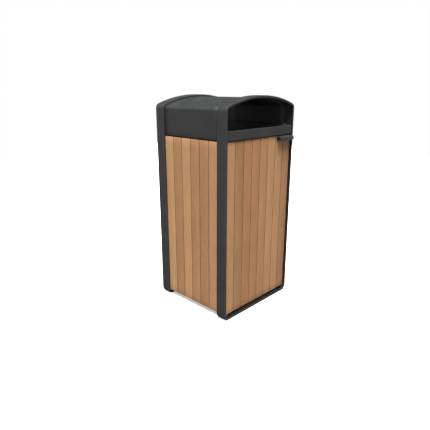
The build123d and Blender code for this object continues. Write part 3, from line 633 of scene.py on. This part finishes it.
def channelSection(depth):
    # folded channel seen in section: inset from the outside face against place along the depth;
    # outer bends have one radius, inner bends that radius less the sheet, lips end in a half round
    sheet, lip, bend, tip = hoops["sheet"], hoops["lip"], hoops["bend"], hoops["lipRound"]
    inner = bend - sheet
    quarter = np.linspace(0, math.pi / 2, hoops["foldSteps"] + 1)
    small = np.linspace(0, math.pi / 2, hoops["lipSteps"] + 1)
    half = []

    def arc(cx, cy, size, angles, signX, signY):
        half.append(np.stack([cx + signX * size * np.cos(angles), cy + signY * size * np.sin(angles)], 1))

    end = depth / 2
    half.append(np.array([[0.0, 0.0]]))
    arc(bend, end - bend, bend, quarter, -1, 1)
    arc(lip - tip, end - tip, tip, small[::-1], 1, 1)
    arc(lip - tip, end - sheet + tip, tip, small, 1, -1)
    arc(sheet + inner, end - sheet - inner, inner, quarter[::-1], -1, 1)
    half.append(np.array([[sheet, 0.0]]))
    half = np.concatenate(half)
    back = (half * np.array([1, -1]))[1:-1][::-1]
    return np.concatenate([half, back])


plates = {
    "soft": 0.0006,         # setting in of the two faces
    "softShare": 0.4,       # at most this share of half the thickness
    "cornerSteps": 4,
    "sharpAngle": 30,
}


def makePlate(name, low, high, radius, body, material, thin=0):
    # flat plate with rounded corners: a rounded rectangle carried through its thickness,
    # set in a little at both faces
    low, high = np.array(low, float), np.array(high, float)
    wide = [axis for axis in range(3) if axis != thin]
    centre, half = (low + high) / 2, (high - low) / 2
    soft = min(plates["soft"], half[thin] * plates["softShare"])
    rings = []
    for place, inset in ((-1, soft), (-1, 0), (1, 0), (1, soft)):
        depthAt = centre[thin] + place * (half[thin] - (soft if inset == 0 else 0))
        loop = roundedLoop(half[wide[0]] - inset, half[wide[1]] - inset, radius, plates["cornerSteps"])
        ring = np.zeros((len(loop), 3))
        ring[:, wide[0]] = centre[wide[0]] + loop[:, 0]
        ring[:, wide[1]] = centre[wide[1]] + loop[:, 1]
        ring[:, thin] = depthAt
        rings.append(ring if thin != 1 else ring[::-1])
    plate = gridObject(name, np.array(rings), capEnds=True)
    smooth(plate, plates["sharpAngle"])
    finishPiece(plate, body, material)
    return plate


def makeHoop(node, side):
    low, high = (np.array(corner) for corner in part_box(node))
    middleY, depth = (low[1] + high[1]) / 2, high[1] - low[1]
    points, normals = archedOutline(high[0], high[2])
    section = channelSection(depth)
    surface = np.zeros((len(points), len(section), 3))
    surface[:, :, 0] = points[:, None, 0] - section[None, :, 0] * normals[:, None, 0]
    surface[:, :, 1] = middleY + section[None, :, 1]
    surface[:, :, 2] = points[:, None, 1] - section[None, :, 0] * normals[:, None, 1]
    hoop = gridObject("hoop_" + side, surface, closedAlong=True)
    holes = [(sign * hoops["anchorX"], middleY) for sign in (-1, 1)]
    past = hoops["drillPast"]
    drillHoles(hoop, holes, hoops["anchorRadius"], -past, hoops["sheet"] + past)
    smooth(hoop, hoops["sharpAngle"])
    finishPiece(hoop, "root", coatingFinish)
    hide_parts(node)
    inward = 1 if middleY < 0 else -1
    lipFace = middleY + inward * depth / 2
    for level in ("bottom", "middle", "top"):
        railLow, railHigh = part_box("left_" + level + "_rail")
        height = (railLow.z + railHigh.z) / 2
        for sign, word in ((-1, "left"), (1, "right")):
            xs = sorted((sign * hoops["earInner"], sign * (high[0] - hoops["lip"] + hoops["earLap"])))
            gap = hoops["earGap"]
            ys = sorted((lipFace - inward * gap, lipFace - inward * (hoops["sheet"] - gap)))
            makePlate(
                "ear_" + side + "_" + word + "_" + level,
                (xs[0], ys[0], height - hoops["earHeight"] / 2),
                (xs[1], ys[1], height + hoops["earHeight"] / 2),
                hoops["earCorner"], "root", coatingFinish, thin=1,
            )


makeHoop("front_hoop", "front")
makeHoop("rear_hoop", "rear")
print("made the hoops")


hood = {
    "inset": 0.0125,        # behind the hoops' outer faces
    "sheet": 0.0025,
    "flange": 0.2655,       # inner edge of the flange along each lower side
    "bend": 0.0035,
    "rows": 12,
    "bendSteps": 4,
    "sideSteps": 6,
    "sharpAngle": 40,
}


def makeHood():
    # one sheet: the hoops' outline set in, cut at the lower edge and turned inwards there by a
    # quarter circle, carried straight from front to back, then given its thickness
    low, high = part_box("hood_shell")
    half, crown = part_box("front_hoop")[1].x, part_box("front_hoop")[1].z
    points = archedOutline(half, crown, hood["inset"], feet=False)[0]
    right = points[:(len(points) + 1) // 2]
    turn = np.linspace(0, math.pi / 2, hood["bendSteps"] + 1)
    edge = high.x - hood["bend"]
    corner = np.stack([edge + hood["bend"] * np.cos(turn), low.z + hood["bend"] * (1 - np.sin(turn))], 1)
    side = np.linspace(right[-1][1], corner[0][1], hood["sideSteps"])[1:-1]
    right = np.concatenate([
        right, np.stack([np.full(len(side), high.x), side], 1), corner, [[hood["flange"], low.z]]
    ])
    line = np.concatenate([(right * np.array([-1, 1]))[::-1][:-1], right])
    places = np.linspace(low.y, high.y, hood["rows"])
    surface = np.zeros((len(places), len(line), 3))
    surface[:, :, 0] = line[None, :, 0]
    surface[:, :, 2] = line[None, :, 1]
    surface[:, :, 1] = places[:, None]
    shell = gridObject("hood_sheet", surface, closedAcross=False)
    smooth(shell, hood["sharpAngle"])
    wall = shell.modifiers.new("sheet", "SOLIDIFY")
    wall.thickness = hood["sheet"]
    wall.offset = -1
    wall.use_even_offset = True
    finishPiece(shell, "root", coatingFinish)
    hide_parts("hood_shell")


makeHood()
print("made the hood")


pull = {
    "sheet": 0.003,
    "fall": 0.0065,         # how far the top slopes down to the lip
    "bend": 0.0035,         # middle of the sheet round each fold
    "foldSteps": 6,
    "endRound": 0.0006,
    "cells": 10,
    "sharpAngle": 35,
}


def foldedSheet(corners, thickness, bend, steps):
    # section of a folded sheet: the middle line turns through a circular arc at each corner, and the
    # two faces lie half a thickness to either side of it along the line's normal
    corners = np.array(corners, float)
    line, normals = [], []

    def normalOf(direction):
        return np.array([direction[1], -direction[0]])

    directions = np.diff(corners, axis=0)
    directions /= np.linalg.norm(directions, axis=1)[:, None]
    line.append(corners[:1])
    normals.append(normalOf(directions[0])[None])
    for number in range(1, len(corners) - 1):
        before, after = directions[number - 1], directions[number]
        turn = math.atan2(before[0] * after[1] - before[1] * after[0], before @ after)
        side = np.sign(turn)
        reach = bend * math.tan(abs(turn) / 2)
        centre = corners[number] - before * reach - normalOf(before) * bend * side
        angles = np.linspace(0, turn, steps + 1)
        outward = normalOf(before) * side
        cos, sin = np.cos(angles), np.sin(angles)
        spokes = np.stack([outward[0] * cos - outward[1] * sin, outward[0] * sin + outward[1] * cos], 1)
        line.append(centre + bend * spokes)
        normals.append(spokes * side)
    line.append(corners[-1:])
    normals.append(normalOf(directions[-1])[None])
    line, normals = np.concatenate(line), np.concatenate(normals)
    outer = line + normals * thickness / 2
    inner = line - normals * thickness / 2
    return np.concatenate([outer, inner[::-1]])


def makePull():
    low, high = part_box("door_pull")
    middle = pull["sheet"] / 2
    back, lip = high.y - middle, low.y + middle
    section = foldedSheet(
        [(back, low.z), (back, high.z - middle), (lip, high.z - pull["fall"] - middle), (lip, low.z)],
        pull["sheet"], pull["bend"], pull["foldSteps"],
    )
    soft = pull["endRound"]
    places = np.concatenate([
        [low.x, low.x + soft], np.linspace(low.x, high.x, pull["cells"])[1:-1], [high.x - soft, high.x]
    ])
    rings = [np.column_stack([np.full(len(section), x), section]) for x in places]
    piece = gridObject("pull_folded", np.array(rings), capEnds=True)
    smooth(piece, pull["sharpAngle"])
    finishPiece(piece, "door", coatingFinish)
    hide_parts("door_pull")


makePull()
print("made the pull")


wheels = {
    "bore": 0.01005,
    "hub": 0.022,
    "rim": 0.078,
    "web": 0.010,
    "tyreRound": 0.008,
    "treadBlocks": 24,
    "treadDepth": 0.0016,
    "spokes": 6,
    "spokeRise": 0.006,
    "turnSteps": 144,
    "tyreSteps": 5,
    "webSteps": 6,
    "fillet": 0.003,
    "soft": 0.002,
    "edge": 0.001,
    "spokeFrom": 0.010,     # from the hub
    "spokeTo": 0.008,       # from the rim
    "crownShare": 0.3,      # of half the width, between the tread's points
    "blockSteepness": 3,
    "spokeSteepness": 4,
    "spokeGap": 2.4,
    "sharpAngle": 35,
}


def makeWheel(node, body):
    # a closed section turned about the axle: the tread's radius dips where a sine of the turn is low,
    # and the web thickens where a cosine of six turns is high, which leaves six spokes
    low, high = (np.array(corner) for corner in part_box(node))
    centre, half = (low + high) / 2, (high[0] - low[0]) / 2
    outer = (high[2] - low[2]) / 2
    tyre, web = wheels["tyreRound"], wheels["web"] / 2
    bore, hub, rim = wheels["bore"], wheels["hub"], wheels["rim"]
    fillet, soft, edge = wheels["fillet"], wheels["soft"], wheels["edge"]
    quarter = np.linspace(0, math.pi / 2, wheels["tyreSteps"] + 1)
    webRadii = np.linspace(hub + wheels["spokeFrom"], rim - wheels["spokeTo"], wheels["webSteps"])
    hubSide = [(half - edge, bore), (half, bore + edge), (half, hub - soft), (half - soft, hub)]
    hubSide += [(web + fillet, hub + edge)]
    webSide = [(web, hub + fillet + edge)] + [(web, radius) for radius in webRadii]
    rimSide = [(web, rim - fillet), (web + fillet, rim), (half - soft, rim + edge), (half, rim + fillet)]
    shoulder = [(half - tyre + tyre * math.cos(a), outer - tyre + tyre * math.sin(a)) for a in quarter]
    side = np.array(hubSide + webSide + rimSide + shoulder)
    crown = wheels["crownShare"] * half
    middle = np.array([(crown, outer), (0.0, outer), (-crown, outer)])
    section = np.concatenate([side, middle, (side * np.array([-1, 1]))[::-1]])
    turn = np.linspace(0, 2 * math.pi, wheels["turnSteps"], endpoint=False)
    across = np.broadcast_to(section[None, :, 0], (len(turn), len(section))).copy()
    radius = np.broadcast_to(section[None, :, 1], (len(turn), len(section))).copy()
    blocks = np.clip(wheels["blockSteepness"] * np.sin(turn * wheels["treadBlocks"]), -1, 1)[:, None]
    onTread = radius > outer - fillet
    radius -= np.where(onTread, wheels["treadDepth"] * (1 - blocks) / 2, 0)
    spoke = wheels["spokeSteepness"] * np.cos(turn * wheels["spokes"]) - wheels["spokeGap"]
    spoke = np.clip(spoke, 0, 1)[:, None]
    onWeb = (radius > hub + fillet) & (radius < rim - soft)
    across += np.where(onWeb, np.sign(across) * wheels["spokeRise"] * spoke, 0)
    surface = np.stack([
        centre[0] + across,
        centre[1] + radius * np.cos(turn)[:, None],
        centre[2] + radius * np.sin(turn)[:, None],
    ], -1)
    piece = gridObject("moulded_" + node, surface, closedAlong=True)
    smooth(piece, wheels["sharpAngle"])
    finishPiece(piece, body, wheelFinish)
    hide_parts(node)


makeWheel("bin_wheel_left", "left_wheel")
makeWheel("bin_wheel_right", "right_wheel")
print("made the wheels")


tub = {
    "centreY": 0.006,
    "baseHalf": (0.180, 0.175),
    "neckHalf": (0.220, 0.203),
    "rimHalf": (0.235, 0.218),
    "corner": 0.045,
    "rimCorner": 0.060,
    "rimHeight": 0.018,
    "rimRound": 0.002,
    "wall": 0.004,
    "baseRound": 0.006,
    "recessFront": -0.109,  # the axle recess cuts the lower front back to here
    "recessHeight": 0.130,
    "beads": (0.30, 0.62, 0.72),    # share of the height of each stiffening bead
    "beadRise": 0.0018,
    "beadHalf": 0.016,
    "rings": 60,
    "cornerSteps": 8,
    "lugSpacing": 0.320,
    "lugHalf": 0.010,
    "lugDown": 0.020,
    "lugUp": 0.032,
    "lugSide": 0.032,
    "axleY": -0.139,
    "axleZ": 0.1183,
    "bore": 0.01005,
    "handleHalf": 0.150,
    "handleRadius": 0.011,
    "bracketWidth": 0.020,
    "bracketCorner": 0.003,
    "bracketDrop": 0.0002,
    "firstRing": 0.03,
    "recessRings": 5,
    "innerRings": (0.08, 0.03),
    "bendSteps": 4,
    "lugRays": 48,
    "barSides": 32,
    "barEndSteps": 3,
    "tiny": 1e-9,
    "sharpAngle": 40,
    "lugSharpAngle": 30,
    "barSharpAngle": 35,
}


def tubRing(low, height, half, corner, front=None):
    # rounded rectangle at one height; where the recess is, points in front of it move back to its plane
    loop = roundedLoop(half[0], half[1], corner, tub["cornerSteps"])
    y = loop[:, 1] + tub["centreY"]
    if front is not None:
        y = np.maximum(y, front)
    return np.column_stack([loop[:, 0], y, np.full(len(loop), low + height)])


def makeTub():
    # rings up the outside, over the rim and down the inside: each wall ring is the base and the neck
    # mixed by its share of the height, pushed out in a squared cosine at the beads
    boxLow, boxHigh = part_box("bin_body")
    low, full = boxLow.z, boxHigh.z - boxLow.z
    base, neck, rim = (np.array(tub[key]) for key in ("baseHalf", "neckHalf", "rimHalf"))
    wall, recess, front = tub["wall"], tub["recessHeight"], tub["recessFront"]

    def side(height, inset=0.0, clamp=None, extra=0.0):
        share = height / full
        near = np.abs(share - np.array(tub["beads"])) * full / tub["beadHalf"]
        bead = (tub["beadRise"] * np.cos(np.minimum(near, 1) * math.pi / 2) ** 2).sum()
        half = base + (neck - base) * share - inset + bead
        return tubRing(low, height, half - extra, tub["corner"] - inset, clamp)

    turn = np.linspace(0, math.pi / 2, tub["bendSteps"] + 1)
    bend = tub["baseRound"]
    rings = [side(bend * (1 - math.cos(a)), 0.0, front, bend * (1 - math.sin(a))) for a in turn]
    heights = np.linspace(tub["firstRing"], recess, tub["recessRings"])
    rings += [side(height, 0.0, front) for height in heights]
    under = full - tub["rimHeight"]
    rings += [side(height) for height in np.linspace(recess, under, tub["rings"])]
    soft = tub["rimRound"]
    rings.append(tubRing(low, under, rim - soft, tub["rimCorner"] - soft))
    rings.append(tubRing(low, under + soft, rim, tub["rimCorner"]))
    for a in turn:
        inset = soft * (1 - math.cos(a))
        height = full - soft * (1 - math.sin(a))
        rings.append(tubRing(low, height, rim - inset, tub["rimCorner"] - inset))
    for a in turn[::-1]:
        inset = wall - soft * (1 - math.cos(a))
        height = full - soft * (1 - math.sin(a))
        rings.append(tubRing(low, height, neck - inset, tub["corner"] - inset))
    inner = np.linspace(recess + wall, under, tub["rings"])[::-1]
    rings += [side(height, wall) for height in inner]
    lower = (recess + wall, *tub["innerRings"], wall + bend)
    rings += [side(height, wall, front + wall) for height in lower]
    for a in turn[::-1]:
        height = wall + bend * (1 - math.cos(a))
        rings.append(side(height, wall, front + wall, bend * (1 - math.sin(a))))
    body = gridObject("tub_moulding", np.array(rings), capEnds=True)
    smooth(body, tub["sharpAngle"])
    finishPiece(body, "root", tubFinish)
    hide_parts("bin_body")
    makeTubFittings(boxLow, boxHigh)


def makeTubFittings(boxLow, boxHigh):
    # each lug is a plate with a bore: the outline is met by rays from the bore's centre, one per angle
    up, down, beside = tub["lugUp"], tub["lugDown"], tub["lugSide"]
    corners = [math.atan2(z, y) for z in (-down, up) for y in (-beside, beside)]
    rays = np.linspace(-math.pi, math.pi, tub["lugRays"], endpoint=False)
    angles = np.sort(np.concatenate([rays, corners]))
    cos, sin = np.cos(angles), np.sin(angles)
    rise, tiny = np.where(sin > 0, up, down), tub["tiny"]
    reach = np.minimum(beside / np.maximum(np.abs(cos), tiny), rise / np.maximum(np.abs(sin), tiny))
    for sign, word in ((-1, "left"), (1, "right")):
        middle = sign * tub["lugSpacing"] / 2
        rings = []
        for way, size in ((-1, tub["bore"]), (-1, reach), (1, reach), (1, tub["bore"])):
            y, z = tub["axleY"] + size * cos, tub["axleZ"] + size * sin
            rings.append(np.column_stack([np.full(len(angles), middle + way * tub["lugHalf"]), y, z]))
        lug = gridObject("axleLug_" + word, np.array(rings), closedAlong=True)
        smooth(lug, tub["lugSharpAngle"])
        finishPiece(lug, "root", tubFinish)
        outer = sign * tub["handleHalf"]
        inner = outer - sign * tub["bracketWidth"]
        behind = tub["centreY"] - tub["rimHalf"][1] + tub["wall"]
        makePlate(
            "handleBracket_" + word,
            (min(inner, outer), boxLow.y + tub["handleRadius"], boxHigh.z - tub["rimHeight"]),
            (max(inner, outer), behind, boxHigh.z - tub["bracketDrop"]),
            tub["bracketCorner"], "root", tubFinish,
        )
    radius, half = tub["handleRadius"], tub["handleHalf"]
    turn = np.linspace(0, 2 * math.pi, tub["barSides"], endpoint=False)
    quarter = np.linspace(0, math.pi / 2, tub["barEndSteps"] + 1)
    soft = tub["rimRound"]
    ends = [(half - soft * (1 - math.sin(a)), radius - soft * (1 - math.cos(a))) for a in quarter]
    line = [(-x, size) for x, size in ends[::-1]] + [(0.0, radius)] + ends
    rings = [
        np.column_stack([
            np.full(len(turn), x),
            boxLow.y + radius + size * np.cos(turn),
            boxHigh.z - radius + size * np.sin(turn),
        ])
        for x, size in line
    ]
    bar = gridObject("handleBar", np.array(rings), capEnds=True)
    smooth(bar, tub["barSharpAngle"])
    finishPiece(bar, "root", tubFinish)


makeTub()
print("made the tub")


studio = {
    "floorSize": 14.0,
    "floorCells": 8,
    "floorDrop": 0.0002,    # below the object's lowest point
    "floorShade": (0.90, 0.90, 0.90, 1),
    "floorOther": (0.92, 0.92, 0.92, 1),
    "floorNoise": (3.0, 2.0),       # scale and detail
    "floorNear": 0.5,       # out to here the floor is lit by the lights alone,
    "floorFar": 1.6,        # from here on it shows plain white
    "floorLift": 0.42,      # takes the edge off the shadow at the base
    "floorBounce": 0.09,    # how pale the floor is to the object
    "skyShown": 1.0,
    "skyAhead": 0.76,       # light from the corner the key light stands at
    "skyBehind": 0.32,      # light from the far corner
    "keyPower": 9.8,
    "keySpread": 38.0,      # degrees, how soft the key light is
    "keyFrom": (-0.43, -0.42, 1.85),
    "eye": (-1.98135, -1.83516, 1.38367),
    "turn": 45.78,          # degrees from the front towards the left side
    "tilt": 16.96,          # degrees down
    "lens": 34.78,
    "sensor": 36,
}


def makeFloor():
    half = studio["floorSize"] / 2
    steps = np.linspace(-half, half, studio["floorCells"] + 1)
    x, y = np.meshgrid(steps, steps, indexing="xy")
    points = np.stack([x, y, np.full_like(x, cadBox[0][2] - studio["floorDrop"])], -1)
    floor = gridObject("studioFloor", points, closedAcross=False)
    material, tree, shader = newMaterial("paleFloor", Roughness=0.9, IOR=1.2)
    place = addNode(tree, "TexCoord").outputs["Object"]
    cloud = noiseAt(tree, place, *studio["floorNoise"])
    shade = mixColour(tree, cloud, studio["floorShade"], studio["floorOther"])
    dim = studio["floorBounce"]
    seen = addNode(tree, "LightPath").outputs["Is Camera Ray"]
    tree.links.new(mixColour(tree, seen, (dim, dim, dim, 1), shade), shader.inputs["Base Color"])
    away = addNode(tree, "VectorMath", {0: place}, operation="LENGTH").outputs["Value"]
    glow = remap(tree, away, studio["floorNear"], studio["floorFar"], studio["floorLift"], 1.0)
    shader.inputs["Emission Color"].default_value = (1, 1, 1, 1)
    tree.links.new(maths(tree, "MULTIPLY", glow, seen), shader.inputs["Emission Strength"])
    floor.data.materials.append(material)


def makeLights():
    # the sky is brighter towards the front left corner, and shows plain white to the camera
    world = bpy.data.worlds.new("paleSky")
    bpy.context.scene.world = world
    world.use_nodes = True
    tree = world.node_tree
    sky = tree.nodes["Background"]
    ray = addNode(tree, "TexCoord").outputs["Generated"]
    ahead = (-math.sqrt(0.5), -math.sqrt(0.5), 0)
    facing = addNode(tree, "VectorMath", {0: ray, 1: ahead}, operation="DOT_PRODUCT").outputs["Value"]
    glow = remap(tree, facing, -1.0, 1.0, studio["skyBehind"], studio["skyAhead"])
    seen = addNode(tree, "LightPath").outputs["Is Camera Ray"]
    strength = remap(tree, seen, 0.0, 1.0, glow, studio["skyShown"])
    tree.links.new(strength, sky.inputs["Strength"])
    sky.inputs["Color"].default_value = (1, 1, 1, 1)
    lamp = bpy.data.lights.new("softKey", "SUN")
    lamp.energy = studio["keyPower"]
    lamp.angle = math.radians(studio["keySpread"])
    key = bpy.data.objects.new("softKey", lamp)
    bpy.context.scene.collection.objects.link(key)
    key.location = studio["keyFrom"]
    key.rotation_euler = Vector(studio["keyFrom"]).to_track_quat("Z", "Y").to_euler()


def makeCamera():
    camera = bpy.data.objects.new("camera", bpy.data.cameras.new("camera"))
    bpy.context.scene.collection.objects.link(camera)
    camera.location = studio["eye"]
    camera.rotation_euler = (math.radians(90 - studio["tilt"]), 0, math.radians(-studio["turn"]))
    camera.data.lens = studio["lens"]
    camera.data.sensor_width = studio["sensor"]
    bpy.context.scene.camera = camera


makeFloor()
makeLights()
makeCamera()
bpy.context.scene.view_settings.view_transform = "Standard"
print("set up the studio")
